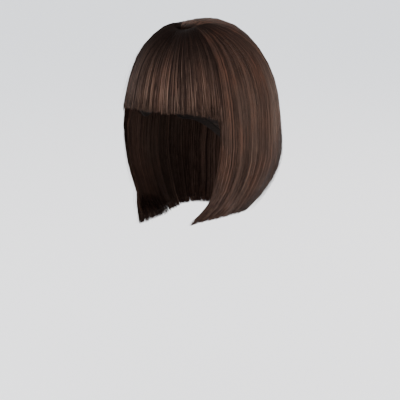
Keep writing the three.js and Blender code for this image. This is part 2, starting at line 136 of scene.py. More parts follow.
SHAPE_ROWS = (
    *[(0, 0, 0, 0, 1, 1, 1)] * 5,
    (0, 0.1, 0, 0, 1, 1, 1),
    (0.1, 0.4, 0, 0, 1, 0.8, 1),
    (0.5, 0.8, 0, 0, 1, 0.5, 1),
    (1, 1, 0.13, 0, 1, 0.42, 1),
    (1, 1.1, 0.27, 0, 0.8, 0.42, 1),
    (0.3, 1.4, 0.6, 0, 0.62, 0.42, 1),
    (0, 1.9, 1, 0, 0.55, 0.42, 0.85),
    (0, 2.2, 0.87, 0, 0.55, 0.42, 0.7),
    (0, 2.5, 0.87, 0.55, 0.6, 0.42, 0.65),
    (0, 2.8, 0.87, 1, 0.8, 0.42, 0.8),
    (0, 3, 0.87, 1.3, 0.8, 0.42, 0.8),
)

# %% Smooth curves through the rows
LAST_ROW = len(HEAD_ROWS) - 1
STEPS_PER_ROW = 40
FINE_ROWS = np.linspace(0, TIP_ROW, TIP_ROW * STEPS_PER_ROW + 1)


def column_curve(rows, columns, name):
    """A smooth curve through one column of a table, at every fine row."""
    values = np.array([row[columns.index(name)] for row in rows], float)
    at = np.minimum(np.floor(FINE_ROWS).astype(int), LAST_ROW - 1)
    step = FINE_ROWS - at
    before, start = values[np.clip(at - 1, 0, LAST_ROW)], values[at]
    end, after = values[at + 1], values[np.clip(at + 2, 0, LAST_ROW)]
    bend = 2 * before - 5 * start + 4 * end - after
    turn = 3 * (start - end) + after - before
    return start + 0.5 * step * (end - before + step * (bend + step * turn))


def height_curve(name, length):
    """Heights above the brow follow the head's rise, and heights below it the hair's length."""
    share = column_curve(HEAD_ROWS, HEAD_COLUMNS, name)
    return np.where(share > 0, share * HEAD_RISE, share * length)


head = {name: column_curve(HEAD_ROWS, HEAD_COLUMNS, name) for name in HEAD_COLUMNS}
hair = {name: column_curve(HAIR_ROWS, HAIR_COLUMNS, name) for name in HAIR_COLUMNS}
shape = {name: column_curve(SHAPE_ROWS, SHAPE_COLUMNS, name) for name in SHAPE_COLUMNS}
front_rim = PARTING_FORWARD + PARTING_HALF_WIDTH
back_rim = PARTING_FORWARD - PARTING_HALF_WIDTH
HEAD_RINGS = {
    "side_x": PARTING_HALF_LENGTH + (HEAD_HALF_WIDTH - PARTING_HALF_LENGTH) * head["across"],
    "side_y": -PARTING_FORWARD * head["forward"],
    "side_z": height_curve("side_z", SIDE_LENGTH),
    "front_y": -front_rim - (HEAD_FRONT - front_rim) * head["to_front"],
    "front_z": height_curve("front_z", FRONT_LENGTH),
    "back_y": -back_rim + (HEAD_BACK + back_rim) * head["to_back"],
    "back_z": height_curve("back_z", BACK_LENGTH),
}
edge_ahead = FRONT_EDGE_VOLUME * shape["ahead"] + TIP_SWEEP * shape["sweep"]
front_out = FRINGE_VOLUME * hair["front_out"] + edge_ahead / math.cos(FRINGE_EDGE * DEGREE)
HAIR_RINGS = {
    "side_x": HEAD_RINGS["side_x"] + SIDE_VOLUME * hair["side_out"],
    "side_y": HEAD_RINGS["side_y"],
    "side_z": HEAD_RINGS["side_z"] + CROWN_VOLUME * hair["side_up"],
    "front_y": HEAD_RINGS["front_y"] - front_out,
    "front_z": HEAD_RINGS["front_z"] + CROWN_VOLUME * hair["front_up"],
    "back_y": HEAD_RINGS["back_y"] + BACK_VOLUME * hair["back_out"],
    "back_z": HEAD_RINGS["back_z"] + CROWN_VOLUME * hair["back_up"],
}


def at_rows(curve, rows):
    """A fine curve read at any rows. Past the tips it runs on straight."""
    slope = curve[-1] - curve[-1 - STEPS_PER_ROW]
    return np.interp(rows, FINE_ROWS, curve) + slope * np.maximum(rows - TIP_ROW, 0)


def on_rings(rings, rows, angles):
    """Points of a form, at rows and at angles round the head: 0 at the face, 90 degrees at the left ear."""
    forward = np.cos(angles)
    is_ahead = forward > 0
    ring = {name: at_rows(curve, rows) for name, curve in rings.items()}
    corner = np.where(is_ahead, at_rows(shape["square_ahead"], rows), at_rows(shape["square_behind"], rows))
    squarer = 1 + HEAD_SQUARENESS * corner * np.sin(2 * angles) ** 2
    end_y = np.where(is_ahead, ring["front_y"], ring["back_y"])
    end_z = np.where(is_ahead, ring["front_z"], ring["back_z"])
    x = ring["side_x"] * np.sin(angles) * squarer
    y = ring["side_y"] + (end_y - ring["side_y"]) * np.abs(forward) * squarer
    z = ring["side_z"] + (end_z - ring["side_z"]) * forward**2
    return np.stack(np.broadcast_arrays(x, y, z), -1)


def smooth(value, low, high):
    """A smooth step from 0 at low to 1 at high."""
    share = np.clip((value - low) / (high - low), 0, 1)
    return share * share * (3 - 2 * share)


print("the back hangs to", round(1e3 * on_rings(HAIR_RINGS, float(TIP_ROW), math.pi)[2]), "mm")

# %% [markdown]
# A mass of hair fills part of the space between the head and its outer face. One function gives any point of
# it: the depth runs from 0 at the outer face to 1 at the inner one, and a lift raises the point above that.
# Combed hair lies in locks, so a few waves round the head raise and lower the outer face.

# %% Any point of the hair
SIDE_BACK = 180 - FRINGE_EDGE
MASSES = {
    "fringe": (-FRINGE_EDGE, FRINGE_EDGE),
    "left_side_hair": (FRINGE_EDGE, SIDE_BACK),
    "back_hair": (SIDE_BACK, 360 - SIDE_BACK),
    "right_side_hair": (-SIDE_BACK, -FRINGE_EDGE),
}


def mass_edges(mass):
    """The angles where a mass begins and ends."""
    return [edge * DEGREE for edge in MASSES[mass]]


def from_face(angles):
    """Angles as degrees away from the face, alike on the left and on the right."""
    turned = np.mod(angles + math.pi, 2 * math.pi) - math.pi
    return np.abs(turned) / DEGREE


def fill_share(mass, rows, angles):
    """The share of the space over the head that holds hair. A side thins out to its free front edge."""
    forward = np.cos(angles)
    end = np.where(forward > 0, at_rows(shape["front_fill"], rows), at_rows(shape["back_fill"], rows))
    side = at_rows(shape["side_fill"], rows)
    fill = np.clip(side + (end - side) * forward**2, 0.3, 1)
    if mass == "fringe":
        return fill
    away = smooth(from_face(angles), FRINGE_EDGE, FRINGE_EDGE + FREE_EDGE_ANGLE)
    thinned = FREE_EDGE_SHARE + (1 - FREE_EDGE_SHARE) * away
    return fill * (1 + (thinned - 1) * smooth(rows, BROW_ROW, BROW_ROW + 1.5))


# Waves round the head: how many, how far they drift in each row, and where they start.
LOCK_WAVES = ((23, 0.35, 0.4), (37, -0.28, 1.9), (58, 0.2, 3.3), (91, 0.3, 5.1))
LOCK_WAVES_PEAK = 2.6


def lock_waves(rows, angles):
    """The relief of the locks, from -1 in a groove to 1 on a ridge."""
    total = 0
    for around, drift, phase in LOCK_WAVES:
        uneven = 0.8 * np.sin(3 * angles + phase)
        total = total + np.sin(around * angles + drift * rows + phase + uneven)
    return total / LOCK_WAVES_PEAK


def hair_point(mass, rows, angles, depth, lift=0.0):
    """Points of a mass, at rows, angles and depths, lifted off the outer face."""
    rows, angles = np.broadcast_arrays(np.asarray(rows, float), np.asarray(angles, float))
    skin = on_rings(HEAD_RINGS, rows, angles)
    outward = on_rings(HAIR_RINGS, rows, angles) - skin
    space = np.linalg.norm(outward, axis=-1)
    thickness = (space - LAYER_GAP) * fill_share(mass, rows, angles)
    reach = space - depth * thickness + lift
    return skin + outward / space[..., None] * reach[..., None]


def hem_row(mass, angles):
    """The row that the hair of a mass reaches at these angles."""
    if mass == "fringe":
        to_temple = from_face(angles) / FRINGE_EDGE
        hem = FRINGE_HEM_MIDDLE + (FRINGE_HEM_TEMPLE - FRINGE_HEM_MIDDLE) * to_temple**4
        above = on_rings(HAIR_RINGS, float(BROW_ROW), angles)[..., 2]
        below = on_rings(HAIR_RINGS, BROW_ROW + 1.0, angles)[..., 2]
        return BROW_ROW + (above - hem) / (above - below)
    if mass == "right_side_hair":
        to_back = (from_face(angles) - FRINGE_EDGE) / (SIDE_BACK - FRINGE_EDGE)
        last = on_rings(HAIR_RINGS, float(TIP_ROW), angles) - on_rings(HAIR_RINGS, TIP_ROW - 1.0, angles)
        extra = RIGHT_EXTRA_LENGTH * (1 - smooth(to_back, 0.1, 1))
        return TIP_ROW + extra / np.linalg.norm(last, axis=-1)
    return TIP_ROW + 0 * angles


print("masses:", ", ".join(MASSES))

# %% [markdown]
# The camera comes early, because every later choice is judged through it. It stands ahead of the wig, to its
# left and a little above it, with a long lens, and is turned until the middle of the head falls on its place.

# %% The camera
FRAME_PIXELS = 400
CAMERA_DISTANCE = 2.4
CAMERA_AZIMUTH = 37 * DEGREE
CAMERA_ELEVATION = 8.3 * DEGREE
METRES_PER_PIXEL = 1.4 * MM
ORIGIN_PIXEL = (198.6, 106)

focal_pixels = CAMERA_DISTANCE / METRES_PER_PIXEL
camera_data = bpy.data.cameras.new("camera")
camera_data.lens = camera_data.sensor_width * focal_pixels / FRAME_PIXELS
camera = bpy.data.objects.new("camera", camera_data)
bpy.context.scene.collection.objects.link(camera)
bpy.context.scene.camera = camera
level = CAMERA_DISTANCE * math.cos(CAMERA_ELEVATION)
camera.location = (
    level * math.sin(CAMERA_AZIMUTH),
    -level * math.cos(CAMERA_AZIMUTH),
    CAMERA_DISTANCE * math.sin(CAMERA_ELEVATION),
)
to_right = (ORIGIN_PIXEL[0] - FRAME_PIXELS / 2) / focal_pixels
to_top = (FRAME_PIXELS / 2 - ORIGIN_PIXEL[1]) / focal_pixels
pitch = CAMERA_ELEVATION + math.atan(to_top)
yaw = CAMERA_AZIMUTH + to_right / math.cos(pitch)
camera.rotation_euler = (math.pi / 2 - pitch, 0, yaw)
print(f"lens {camera_data.lens:.0f} mm, turned {yaw / DEGREE:.2f} and down {pitch / DEGREE:.2f} degrees")

# %% [markdown]
# Materials are small sums over patterns. A socket wrapped in a class with the usual operators lets a sum be
# written as one expression, and one method adds every other node.

# %% A class for shader sums, and one for a material
class Wire:
    """An output socket of a material, which can be used in sums."""

    def __init__(self, recipe, socket):
        self.recipe = recipe
        self.socket = socket

    def _sum(self, operation, first, second):
        return self.recipe.node("ShaderNodeMath", {"operation": operation}, {0: first, 1: second})

    def __add__(self, other):
        return self._sum("ADD", self, other)

    def __radd__(self, other):
        return self._sum("ADD", other, self)

    def __sub__(self, other):
        return self._sum("SUBTRACT", self, other)

    def __rsub__(self, other):
        return self._sum("SUBTRACT", other, self)

    def __mul__(self, other):
        return self._sum("MULTIPLY", self, other)

    def __rmul__(self, other):
        return self._sum("MULTIPLY", other, self)

    def out(self, name):
        """Another output of the same node."""
        return Wire(self.recipe, self.socket.node.outputs[name])


class Recipe:
    """A material and the nodes that make it."""

    def __init__(self, name):
        self.material = bpy.data.materials.new(name)
        self.material.use_nodes = True
        self.tree = self.material.node_tree
        self.tree.nodes.clear()

    def node(self, kind, settings=None, sockets=None, output=0):
        """A node of a kind, with its settings and the values or links of its sockets."""
        made = self.tree.nodes.new(kind)
        for name, value in (settings or {}).items():
            setattr(made, name, value)
        for key, value in (sockets or {}).items():
            if isinstance(value, Wire):
                self.tree.links.new(value.socket, made.inputs[key])
            else:
                made.inputs[key].default_value = value
        return Wire(self, made.outputs[output])

    def blend(self, first, second, factor):
        """A colour between two others."""
        settings = {"data_type": "RGBA", "clamp_factor": True}
        return self.node("ShaderNodeMix", settings, {0: factor, 6: first, 7: second}, output=2)

    def between(self, value, low, high):
        """A smooth step from 0 at low to 1 at high."""
        settings = {"interpolation_type": "SMOOTHSTEP"}
        sockets = {"Value": value, "From Min": low, "From Max": high, "To Min": 0.0, "To Max": 1.0}
        return self.node("ShaderNodeMapRange", settings, sockets)

    def noise(self, place, scale, detail=2.0):
        """A cloudy pattern from 0 to 1."""
        sockets = {"Vector": place, "Scale": scale, "Detail": detail}
        return self.node("ShaderNodeTexNoise", {"noise_dimensions": "3D"}, sockets)

    def stretched(self, place, sizes):
        """A place multiplied part by part, so that a pattern is stretched."""
        return self.node("ShaderNodeVectorMath", {"operation": "MULTIPLY"}, {0: place, 1: sizes})

    def bump(self, height, distance):
        """A normal from a height, which counts in units of the distance."""
        return self.node("ShaderNodeBump", {}, {"Height": height, "Distance": distance, "Strength": 1.0})

    def finish(self, color, roughness, normal=None, gloss=0.5, gloss_color=(1, 1, 1, 1)):
        """The surface itself, and its link to the output."""
        sockets = {
            "Base Color": color,
            "Roughness": roughness,
            "Specular IOR Level": gloss,
            "Specular Tint": gloss_color,
        }
        if normal:
            sockets["Normal"] = normal
        surface = self.node("ShaderNodeBsdfPrincipled", {}, sockets)
        output = self.tree.nodes.new("ShaderNodeOutputMaterial")
        self.tree.links.new(surface.socket, output.inputs["Surface"])
        return self.material


print("shader helpers ready")

# %% [markdown]
# The hair is a dark chocolate brown with a red cast in patches, and a painted red sheen towards the top. Each
# strand carries three numbers: its own tone, the place along it, and how deep it lies. Deep strands are
# darkened as painted shade, and root stretches are darker. A few strands are much lighter on the lower
# stretch: partly lighter hair, partly a painted highlight. The gloss is weak, because thousands of glossy
# strands turn grey where they are seen edge on.

# %% Hair materials
DEEPEST_BROWN = (0.0025, 0.0013, 0.0011, 1)
DARK_BROWN = (0.005, 0.0026, 0.0021, 1)
CHOCOLATE = (0.029, 0.0175, 0.0137, 1)
# RED_BROWN and CARAMEL are partly the hair's own tones and partly painted sheen. DEEPEST_BROWN also gives
# painted shade to hair that lies under other hair.
RED_BROWN = (0.058, 0.0235, 0.0142, 1)
CARAMEL = (0.135, 0.085, 0.063, 1)
GLOSS_COLOR = (0.95, 0.68, 0.54, 1)
HAIR_GLOSS = 0.05
PATCH_SCALE = 38.0
FIBRE_SCALE = 620.0
SHELL_BUMP = 0.6 * MM


def strand_material(name, sheen_from, sheen_share, warmth, root_ends):
    """Strands of hair. A share of them lightens from sheen_from on: partly lighter strands, partly a painted
    sheen. The roots end between two places.
    """
    recipe = Recipe(name)
    facts = recipe.node("ShaderNodeAttribute", {"attribute_name": "strand"}).out("Vector")
    parts = recipe.node("ShaderNodeSeparateXYZ", {}, {0: facts})
    tone, along, depth = parts, parts.out("Y"), parts.out("Z")
    place = recipe.node("ShaderNodeTexCoord").out("Object")
    patches = recipe.noise(recipe.stretched(place, (1.0, 1.0, 0.45)), PATCH_SCALE)
    fine = recipe.noise(recipe.stretched(place, (1.0, 1.0, 0.12)), FIBRE_SCALE, 1.0)
    body = recipe.blend(DARK_BROWN, CHOCOLATE, recipe.between(tone + 0.5 * (fine - 0.5), 0.1, 0.85))
    # Red patches from the noise are the hair's own tone; the extra red towards the top is a painted sheen.
    painted_top_sheen = recipe.between(0 - along, -0.55, -0.2)
    red_tone_and_sheen = (recipe.between(patches, 0.42, 0.68) + 0.5 * painted_top_sheen) * warmth
    body = recipe.blend(body, RED_BROWN, red_tone_and_sheen * recipe.between(tone, 0.3, 0.9))
    # Random lighter strands, only on the lower stretch: partly lighter hair, partly a painted highlight.
    light_strands_and_sheen = recipe.between(along, sheen_from, 1.0) * recipe.between(tone, 1 - sheen_share, 1.0)
    body = recipe.blend(body, CARAMEL, light_strands_and_sheen * 0.6)
    roots = 1 - recipe.between(along + 0.15 * (tone - 0.5), *root_ends)
    # Strands that lie under others are darkened towards DEEPEST_BROWN: painted shade.
    body = recipe.blend(body, DEEPEST_BROWN, recipe.between(depth, 0.12, 1.0) * 0.85)
    body = recipe.blend(body, DEEPEST_BROWN, roots * 0.95)
    rough = 0.36 + 0.16 * fine + 0.4 * roots
    return recipe.finish(body, rough, gloss=HAIR_GLOSS, gloss_color=GLOSS_COLOR)


def shell_material(name):
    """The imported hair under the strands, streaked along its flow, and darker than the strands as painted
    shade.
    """
    recipe = Recipe(name)
    flow = recipe.node("ShaderNodeUVMap", {"uv_map": "OFBake"})
    streaks = recipe.noise(recipe.stretched(flow, (420.0, 5.0, 1.0)), 1.0, 3.0)
    broad = recipe.noise(recipe.stretched(flow, (90.0, 3.0, 1.0)), 1.0)
    # The shell is kept darker than the strands: painted shade of the hair beneath them.
    color = recipe.blend(DEEPEST_BROWN, DARK_BROWN, recipe.between(streaks, 0.35, 0.7))
    color = recipe.blend(color, CHOCOLATE, recipe.between(broad, 0.55, 0.8) * 0.3)
    normal = recipe.bump(streaks, SHELL_BUMP)
    return recipe.finish(color, 0.5 + 0.2 * broad, normal, gloss=HAIR_GLOSS, gloss_color=GLOSS_COLOR)


FRINGE_HAIR = strand_material("fringe_hair", 0.5, 0.42, 0.4, (0.36, 0.9))
SIDE_HAIR = strand_material("side_hair", 0.35, 0.33, 0.5, (0.05, 0.5))
BACK_HAIR = strand_material("back_hair_strands", 0.1, 0.3, 1.0, (0.0, 0.12))
UNDER_HAIR = strand_material("under_hair", 0.8, 0.05, 0.2, (0.0, 0.3))
PACKED_HAIR = shell_material("packed_hair")
HAIR_MATERIALS = (FRINGE_HAIR, SIDE_HAIR, BACK_HAIR, UNDER_HAIR, PACKED_HAIR)
print("hair materials:", ", ".join(material.name for material in HAIR_MATERIALS))

# %% [markdown]
# The cap is a stretch net: fine dark threads with small openings, crossed by the tapes that the hair is sewn
# to. Its edge is ribbed elastic. The patch at the parting is a finer net over a skin-coloured ground. All
# three patterns follow the cloth, so they read each piece's own map, whose unit is a metre.

# %% Cap materials
THREAD = (0.014, 0.01, 0.009, 1)
OPENING = (0.0025, 0.0015, 0.0015, 1)
TAPE = (0.02, 0.014, 0.012, 1)
ELASTIC_RIB = (0.014, 0.01, 0.009, 1)
ELASTIC_VALLEY_SHADE = (0.004, 0.003, 0.0025, 1)
SKIN_GROUND = (0.26, 0.19, 0.17, 1)
SKIN_THREAD = (0.07, 0.06, 0.075, 1)
TAPE_SPACING = 13 * MM
NET_MESH = 1.5 * MM
SKIN_MESH = 0.8 * MM
STITCH_LENGTH = 1.6 * MM
RIB_WIDTH = 1.1 * MM
SEAM_SPACING = 3.4 * MM
NET_BUMP = 0.5 * MM
RIB_BUMP = 0.4 * MM
CLOTH_ROUGHNESS = 0.8
CLOTH_GLOSS = 0.1


def wave(recipe, coordinate, length):
    """A wave along one coordinate, from 0 to 1, of the given length."""
    turns = coordinate * (2 * math.pi / length)
    return 0.5 + 0.5 * recipe.node("ShaderNodeMath", {"operation": "SINE"}, {0: turns})


def cloth_place(recipe):
    """Two places on the cloth: how far across it, and how far down it."""
    flow = recipe.node("ShaderNodeUVMap", {"uv_map": "cloth"})
    parts = recipe.node("ShaderNodeSeparateXYZ", {}, {0: flow})
    return parts, parts.out("Y")


def net_material(name, ground, thread, mesh_size, tape=None):
    """A net of slanting threads over a ground, with stitched tapes if a tape colour is given."""
    recipe = Recipe(name)
    across, down = cloth_place(recipe)
    first = wave(recipe, across + down * 0.58, mesh_size)
    second = wave(recipe, across - down * 0.58, mesh_size)
    threads = recipe.between(first, 0.6, 0.9) + recipe.between(second, 0.6, 0.9)
    net = recipe.between(threads, 0.1, 0.9)
    color = recipe.blend(ground, thread, net)
    height = net * 0.5
    if tape:
        on_tape = recipe.between(wave(recipe, down, TAPE_SPACING), 0.84, 0.93)
        stitches = recipe.between(wave(recipe, across + down * 0.8, STITCH_LENGTH), 0.3, 0.8)
        color = recipe.blend(color, recipe.blend(tape, DARK_BROWN, stitches), on_tape)
        height = net * 0.5 * (1 - on_tape) + on_tape * (0.9 + 0.5 * stitches)
    return recipe.finish(color, CLOTH_ROUGHNESS, recipe.bump(height, NET_BUMP), gloss=CLOTH_GLOSS)


def elastic_material():
    """Ribs that run up and down, crossed by the seams that hold them. The valleys between the ribs are painted
    darker, as shade.
    """
    recipe = Recipe("ribbed_elastic")
    across, down = cloth_place(recipe)
    ribs = wave(recipe, across, RIB_WIDTH)
    seams = recipe.between(wave(recipe, down, SEAM_SPACING), 0.85, 0.98)
    # The valleys between the ribs are painted darker: painted shade.
    color = recipe.blend(ELASTIC_VALLEY_SHADE, ELASTIC_RIB, recipe.between(ribs, 0.2, 0.8))
    color = recipe.blend(color, THREAD, seams * 0.7)
    normal = recipe.bump(ribs * (1 - 0.7 * seams), RIB_BUMP)
    return recipe.finish(color, CLOTH_ROUGHNESS, normal, gloss=CLOTH_GLOSS)


STRETCH_NET = net_material("stretch_net", OPENING, THREAD, NET_MESH, TAPE)
SKIN_NET = net_material("skin_net", SKIN_GROUND, SKIN_THREAD, SKIN_MESH)
ELASTIC = elastic_material()
print("cap materials:", STRETCH_NET.name, SKIN_NET.name, ELASTIC.name)

# %% [markdown]
# A sheet of hair or cloth with a thickness starts as a flat grid or an open tube. Edit mode's extrude gives
# it a second side, and each vertex is then carried to its place on the form. The vertices that the extrude
# left selected are those of the inner side.

# %% Sheets that follow the form
def in_edit_mode(*steps):
    """Runs edit mode operators, one after another, on the active object."""
    bpy.ops.object.mode_set(mode="EDIT")
    for step in steps:
        step()
    bpy.ops.object.mode_set(mode="OBJECT")


def select_upright_edges(mesh):
    """Selects the edges that don't run level."""
    in_edit_mode(
        lambda: bpy.ops.mesh.select_mode(type="EDGE"),
        lambda: bpy.ops.mesh.select_all(action="DESELECT"),
    )
    for edge in mesh.edges:
        first, second = (mesh.vertices[i].co for i in edge.vertices)
        edge.select = abs(first.z - second.z) > 1e-6


def second_side():
    """Extrudes all faces in place, so that the sheet gets an inner side, and selects that side."""
    bpy.ops.mesh.select_mode(type="VERT")
    bpy.ops.mesh.select_all(action="SELECT")
    bpy.ops.mesh.extrude_region_move(TRANSFORM_OT_translate={"value": (0, 0, 0)})


def carry(obj, place):
    """Moves every vertex to place(flat, inner), given its place on the flat sheet and its side."""
    mesh = obj.data
    count = len(mesh.vertices)
    flat = np.empty(count * 3)
    mesh.vertices.foreach_get("co", flat)
    flat = flat.reshape(-1, 3)
    inner = np.empty(count, bool)
    mesh.vertices.foreach_get("select", inner)
    mesh.vertices.foreach_set("co", place(flat, inner).reshape(-1))
    mesh.update()


def add_map(mesh, name, values):
    """A UV map from one pair of numbers for each vertex."""
    layer = mesh.uv_layers.new(name=name)
    corners = np.empty(len(mesh.loops), np.int32)
    mesh.loops.foreach_get("vertex_index", corners)
    layer.data.foreach_set("uv", values[corners].astype(np.float32).reshape(-1))


def face_out(obj):
    """Turns all faces of a closed piece outwards."""
    in_edit_mode(
        lambda: bpy.ops.mesh.select_all(action="SELECT"),
        lambda: bpy.ops.mesh.normals_make_consistent(inside=False),
    )


def flat_sheet(name, columns, rows):
    """A grid with two sides, one unit wide and one unit high."""
    bpy.ops.mesh.primitive_grid_add(x_subdivisions=columns, y_subdivisions=rows, size=1)
    obj = bpy.context.object
    obj.name = name
    in_edit_mode(second_side)
    return obj


def round_sheet(name, columns, rows):
    """An open tube with two sides, one unit high."""
    bpy.ops.mesh.primitive_cylinder_add(vertices=columns, radius=1, depth=1, end_fill_type="NOTHING")
    obj = bpy.context.object
    obj.name = name
    select_upright_edges(obj.data)
    in_edit_mode(lambda: bpy.ops.mesh.subdivide(number_cuts=rows - 1))
    in_edit_mode(second_side)
    return obj


def dress(obj, material, slot, *nodes, smooth_all=True):
    """The last steps of a piece: its material, its body and the solids that it stands for. The slot is not
    used.
    """
    obj.data.materials.clear()
    obj.data.materials.append(material)
    if smooth_all:
        obj.data.shade_smooth()
    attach(obj, "root")
    if nodes:
        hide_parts(*nodes)
    bpy.ops.object.select_all(action="DESELECT")
    triangles = sum(len(face.vertices) - 2 for face in obj.data.polygons)
    print(f"{obj.name}: {triangles} triangles")


# %% [markdown]
# The cap net is a dome with a slit in its top. It is carried row by row down to its rim, which lies high over
# the brow, dips at the ear tabs, rises over the ears and dips again at the nape. The tapes that the hair is
# sewn to are low ridges inside it.

# %% The cap net
CAP_WALL = 1.2 * MM
BAND_WALL = 1.6 * MM
BAND_HEIGHT = 10 * MM
RIM_ANGLES = (0, 50, 75, 97, 125, 180)
RIM_HEIGHTS = (
    0.36 * HEAD_RISE,
    0.19 * HEAD_RISE,
    -0.06 * BACK_LENGTH,
    0.02 * HEAD_RISE,
    -0.14 * BACK_LENGTH,
    -0.36 * BACK_LENGTH,
)
CAP_COLUMNS = 144
CAP_ROWS = 54
CAP_SPREAD = 0.85
TAPE_HEIGHT = 0.7 * MM
CLOTH_RADIUS = 82 * MM
CLOTH_LINE = 150 * DEGREE


def rim_height(angles):
    """The height of the cap's rim at these angles."""
    degrees = from_face(angles)
    height = np.full(np.shape(degrees), RIM_HEIGHTS[0])
    for (low, high), start, end in zip(zip(RIM_ANGLES, RIM_ANGLES[1:]), RIM_HEIGHTS, RIM_HEIGHTS[1:]):
        height = height + (end - start) * smooth(degrees, low, high)
    return height


def row_at_height(angles, height):
    """The row at which the head's surface reaches a height, found by halving."""
    low = np.ones_like(angles)
    high = np.full_like(angles, TIP_ROW)
    for _ in range(30):
        middle = (low + high) / 2
        is_above = on_rings(HEAD_RINGS, middle, angles)[..., 2] > height
        low = np.where(is_above, middle, low)
        high = np.where(is_above, high, middle)
    return low


def row_below(rows, angles, distance):
    """The row that lies a distance further down the head."""
    step = on_rings(HEAD_RINGS, rows + 0.1, angles) - on_rings(HEAD_RINGS, rows, angles)
    return rows + 0.1 * distance / np.linalg.norm(step, axis=-1)


def on_head(rows, angles, lift):
    """A point of the cap: the head's surface, moved out along the line to the hair."""
    skin = on_rings(HEAD_RINGS, rows, angles)
    outward = on_rings(HAIR_RINGS, rows, angles) - skin
    return skin + outward / np.linalg.norm(outward, axis=-1)[..., None] * np.asarray(lift)[..., None]


def cloth_map(rows, angles):
    """Where a point lies on the cloth, in metres round the head and down it, as measured on one line."""
    steps = np.linspace(0, TIP_ROW, 141)
    line = on_rings(HEAD_RINGS, steps, np.full_like(steps, CLOTH_LINE))
    lengths = np.concatenate([[0], np.cumsum(np.linalg.norm(np.diff(line, axis=0), axis=1))])
    return np.stack([angles * CLOTH_RADIUS, np.interp(rows, steps, lengths)], -1)


def close_map(mesh, name, full_turn):
    """Moves the low side of faces that cross the map's seam by a full turn, so that no face is torn."""
    layer = mesh.uv_layers[name]
    for face in mesh.polygons:
        corners = [layer.data[corner].uv for corner in face.loop_indices]
        if max(corner.x for corner in corners) - min(corner.x for corner in corners) > full_turn / 2:
            for corner in corners:
                corner.x += full_turn if corner.x < 0 else 0


def cap_columns(flat):
    """The angle of each vertex of an open tube, and how far down it lies, from 0 to 1."""
    return np.arctan2(flat[:, 0], -flat[:, 1]), 0.5 - flat[:, 2]


def carry_on_head(obj, rows_at, wall, ridge=0.0):
    """Carries an open tube on to the head as a cloth with a wall, and gives it its map."""
    found = {}

    def place(flat, inner):
        angles, down = cap_columns(flat)
        rows = rows_at(angles, down)
        found["cloth"] = cloth_map(rows, angles)
        tape = 0.5 + 0.5 * np.sin(found["cloth"][:, 1] * 2 * math.pi / TAPE_SPACING)
        depth = wall + ridge * smooth(tape, 0.8, 0.95) * smooth(down, 0.02, 0.1)
        return on_head(rows, angles, np.where(inner, -depth, 0.0))

    carry(obj, place)
    add_map(obj.data, "cloth", found["cloth"])
    close_map(obj.data, "cloth", 2 * math.pi * CLOTH_RADIUS)
    face_out(obj)


def cap_rows(angles, down):
    """Rows from the slit to the rim, evenly spread down each column."""
    rim = row_below(row_at_height(angles, rim_height(angles)), angles, -LAYER_GAP / 2)
    return down**CAP_SPREAD * rim


cap = round_sheet("stretch_cap", CAP_COLUMNS, CAP_ROWS)
carry_on_head(cap, cap_rows, CAP_WALL, ridge=TAPE_HEIGHT)
dress(cap, STRETCH_NET, "cap_net", "cap_net")

# %% [markdown]
# The elastic edge is a narrow band below the rim, thicker than the net. It is made as the net is, and a Bevel
# modifier rounds its edges, because elastic is folded over where it turns.

# %% The elastic edge
BAND_ROWS = 6
BAND_EDGE = 0.35 * MM


def band_rows(angles, down):
    """Rows from just under the rim to the band's lower edge."""
    rim = row_at_height(angles, rim_height(angles))
    top = row_below(rim, angles, LAYER_GAP / 2)
    bottom = row_below(rim, angles, BAND_HEIGHT)
    return top + (bottom - top) * down


band = round_sheet("elastic_edge", 2 * CAP_COLUMNS, BAND_ROWS)
carry_on_head(band, band_rows, BAND_WALL)
rounding = band.modifiers.new("rounded", "BEVEL")
rounding.width = BAND_EDGE
rounding.segments = 2
rounding.limit_method = "ANGLE"
bpy.context.view_layer.objects.active = band
bpy.ops.object.modifier_apply(modifier="rounded")
dress(band, ELASTIC, "elastic", "cap_edge_band")

# %% [markdown]
# The patch at the parting is a small oval of fine net. It starts as a cylinder, is scaled to the slit, and
# its top is extruded and drawn in three times, as cloth that is sewn down round its edge rises.

# %% The patch at the parting
patch_low, patch_high = (Vector(corner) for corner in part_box("crown_patch"))
patch_size = patch_high - patch_low
patch_middle = (patch_low + patch_high) / 2

bpy.ops.mesh.primitive_cylinder_add(vertices=64, radius=0.5, depth=1, location=patch_middle)
patch = bpy.context.object
patch.name = "parting_patch"
patch.scale = patch_size
bpy.ops.object.transform_apply(location=True, rotation=True, scale=True)


def select_top(obj, height):
    """Selects the faces that look up and lie at a height."""
    in_edit_mode(
        lambda: bpy.ops.mesh.select_mode(type="FACE"),
        lambda: bpy.ops.mesh.select_all(action="DESELECT"),
    )
    for face in obj.data.polygons:
        face.select = face.normal.z > 0.9 and abs(face.center.z - height) < 0.01 * MM


# How far each step draws the top in, and how far it rises.
PATCH_STEPS = (((0.97, 0.85, 1), 0.14 * MM), ((0.93, 0.7, 1), 0.1 * MM), ((0.85, 0.5, 1), 0.06 * MM))
for spread, rise in PATCH_STEPS:
    select_top(patch, max(vertex.co.z for vertex in patch.data.vertices))
    in_edit_mode(
        lambda: bpy.ops.mesh.extrude_region_move(TRANSFORM_OT_translate={"value": (0, 0, rise)}),
        lambda: bpy.ops.transform.resize(value=spread, center_override=patch_middle),
    )
corners = np.array([vertex.co for vertex in patch.data.vertices])
add_map(patch.data, "cloth", corners[:, :2])
face_out(patch)
dress(patch, SKIN_NET, "skin_net", "crown_patch")

# %% [markdown]
# Under the strands each mass has a shell of packed hair. It makes the hair opaque and gives it its thickness,
# and it ends a little short of the hem, so that only strands show there. At the parting it dips to the cap,
# as hair does where it grows.

